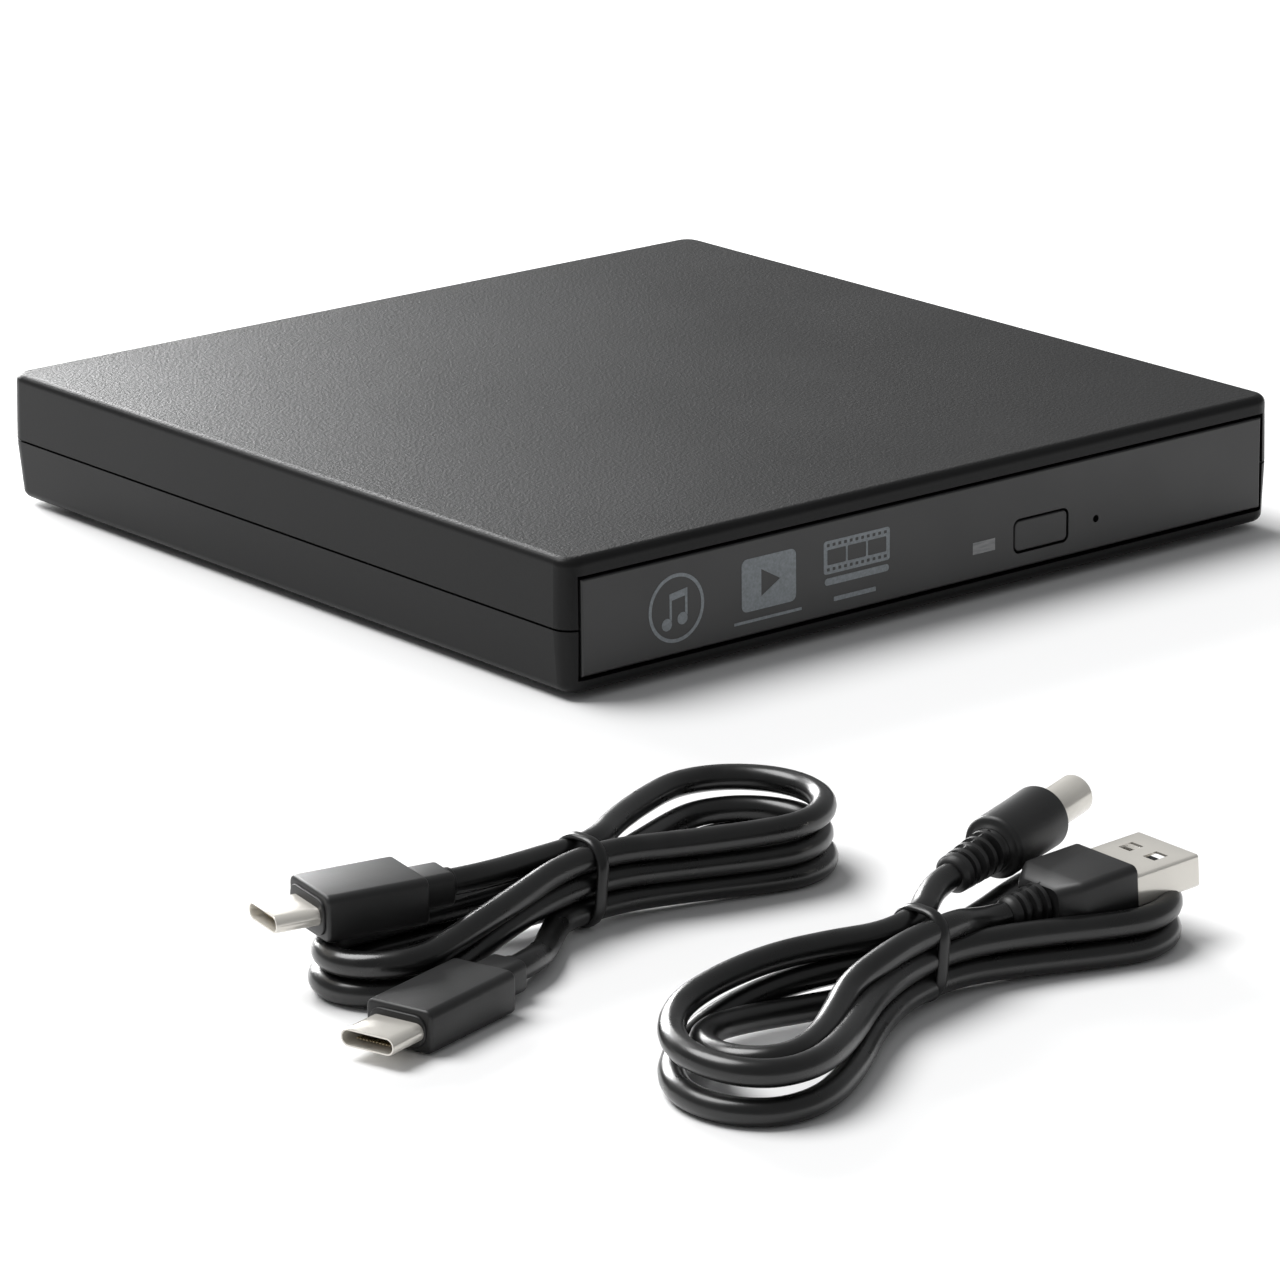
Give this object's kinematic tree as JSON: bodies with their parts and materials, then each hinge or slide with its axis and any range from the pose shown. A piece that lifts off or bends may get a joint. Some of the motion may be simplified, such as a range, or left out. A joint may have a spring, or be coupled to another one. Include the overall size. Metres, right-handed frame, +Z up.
{
  "type": "external optical drive",
  "caption": "Slim external disc drive with a slide-out tray, eject button and activity lamp, and its tied data and power leads.",
  "frame": {"origin": "on the table surface, under the middle of the case (the leads are left out of that middle)", "axes": "+Z up; the front panel faces -Y and the tray comes out along -Y; +X is to the right seen from the front; the sockets face +Y"},
  "size_m": [0.255, 0.2967, 0.022],
  "materials": {
    "case_plastic": "satin, fine grain on the top face",
    "panel_plastic": "smooth satin",
    "rubber": "matt",
    "screw_steel": "zinc plated",
    "board_green": "solder mask",
    "chip_black": "moulded epoxy",
    "socket_metal": "nickel plated",
    "socket_plastic": "moulded nylon",
    "sheet_steel": "galvanised sheet",
    "guide_plastic": "acetal",
    "tray_plastic": "fine spark texture",
    "lamp_plastic": "smoky translucent",
    "motor_steel": "drawn can",
    "winding_copper": "enamelled wire",
    "ring_rubber": "soft silicone",
    "hub_plastic": "acetal",
    "sled_metal": "die cast",
    "lens_glass": "coated",
    "holder_plastic": "moulded",
    "flex_film": "polyimide film",
    "cord_pvc": "satin PVC",
    "plug_pvc": "matt overmould",
    "plug_metal": "nickel plated"
  },
  "bodies": {
    "root": {"case_top": "case_plastic", "case_bottom": "case_plastic", "case_screws": "screw_steel", "rubber_feet": "rubber", "bridge_board": "board_green", "bridge_chips": "chip_black", "usb_c_socket": "socket_metal", "dc_jack": "socket_plastic", "dc_jack_pin": "socket_metal", "sata_socket": "socket_plastic", "sata_plug": "socket_plastic", "drive_chassis": "sheet_steel", "drive_cover": "sheet_steel", "cover_screws": "screw_steel", "rail_guides": "guide_plastic", "latch_post": "screw_steel", "drive_board": "board_green", "tray_flex": "flex_film", "data_lead_hank": "cord_pvc", "data_lead_tail_a": "cord_pvc", "data_lead_tail_b": "cord_pvc", "data_lead_tie": "plug_pvc", "usb_c_plug_a": "plug_pvc", "usb_c_plug_a_shell": "plug_metal", "usb_c_plug_b": "plug_pvc", "usb_c_plug_b_shell": "plug_metal", "power_lead_hank": "cord_pvc", "power_lead_tail_a": "cord_pvc", "power_lead_tail_b": "cord_pvc", "power_lead_tie": "plug_pvc", "dc_plug": "plug_pvc", "dc_plug_barrel": "plug_metal", "usb_a_plug": "plug_pvc", "usb_a_plug_shell": "plug_metal"},
    "tray": {"tray": "tray_plastic", "front_panel": "panel_plastic", "lamp_lens": "lamp_plastic", "tray_board": "board_green", "tact_switch": "chip_black", "tray_shield": "sheet_steel", "traverse_frame": "sheet_steel", "traverse_cover": "tray_plastic", "guide_rods": "screw_steel", "stepper_motor": "motor_steel", "spindle_stator": "winding_copper", "latch_solenoid": "motor_steel"},
    "rail_left": {"slide_rail_left": "sheet_steel"},
    "rail_right": {"slide_rail_right": "sheet_steel"},
    "spindle": {"spindle_rotor": "hub_plastic", "turntable_ring": "ring_rubber"},
    "claw_1": {"chuck_claw_1": "hub_plastic"},
    "claw_2": {"chuck_claw_2": "hub_plastic"},
    "claw_3": {"chuck_claw_3": "hub_plastic"},
    "sled": {"pickup_sled": "sled_metal", "pickup_cover": "sheet_steel"},
    "lens": {"lens_holder": "holder_plastic", "objective_lens": "lens_glass"},
    "lead_screw": {"lead_screw": "screw_steel"},
    "eject_button": {"eject_button": "panel_plastic"},
    "latch_lever": {"latch_lever": "guide_plastic"}
  },
  "joints": [
    {"name": "tray_slide", "type": "slide", "parent": "root", "child": "tray", "axis": [0, -1, 0], "range_m": [0, 0.118]},
    {"name": "rail_left_slide", "type": "slide", "parent": "root", "child": "rail_left", "axis": [0, -1, 0], "range_m": [0, 0.059]},
    {"name": "rail_right_slide", "type": "slide", "parent": "root", "child": "rail_right", "axis": [0, -1, 0], "range_m": [0, 0.059]},
    {"name": "spindle_spin", "type": "hinge", "parent": "tray", "child": "spindle", "pos_m": [0, -0.0066, 0.0124], "axis": [0, 0, 1], "continuous": true},
    {"name": "claw_1_press", "type": "slide", "parent": "spindle", "child": "claw_1", "axis": [-0.7071, 0.7071, 0], "range_m": [0, 0.0005], "stiffness_N_per_m": 20},
    {"name": "claw_2_press", "type": "slide", "parent": "spindle", "child": "claw_2", "axis": [-0.2588, -0.9659, 0], "range_m": [0, 0.0005], "stiffness_N_per_m": 20},
    {"name": "claw_3_press", "type": "slide", "parent": "spindle", "child": "claw_3", "axis": [0.9659, 0.2588, 0], "range_m": [0, 0.0005], "stiffness_N_per_m": 20},
    {"name": "sled_slide", "type": "slide", "parent": "tray", "child": "sled", "axis": [-0.7071, -0.7071, 0], "range_m": [0, 0.035]},
    {"name": "lead_screw_turn", "type": "hinge", "parent": "tray", "child": "lead_screw", "pos_m": [-0.03154, -0.01749, 0.0092], "axis": [-0.7071, -0.7071, 0], "range_deg": [0, 4201]},
    {"name": "lens_focus", "type": "slide", "parent": "sled", "child": "lens", "axis": [0, 0, 1], "range_m": [-0.0004, 0.0004], "stiffness_N_per_m": 20},
    {"name": "eject_button_press", "type": "slide", "parent": "tray", "child": "eject_button", "axis": [0, 1, 0], "range_m": [0, 0.0006], "stiffness_N_per_m": 150, "springref_m": -0.0005},
    {"name": "latch_lever_turn", "type": "hinge", "parent": "tray", "child": "latch_lever", "pos_m": [0.0405, -0.06, 0.0079], "axis": [0, 0, -1], "range_deg": [0, 12], "stiffness_Nm_per_rad": 0.002}
  ],
  "couplings": [
    {"joint": "rail_left_slide", "follows": "tray_slide", "ratio": 0.5},
    {"joint": "rail_right_slide", "follows": "tray_slide", "ratio": 0.5},
    {"joint": "lead_screw_turn", "follows": "sled_slide", "rad_per_m": 2094.4}
  ]
}
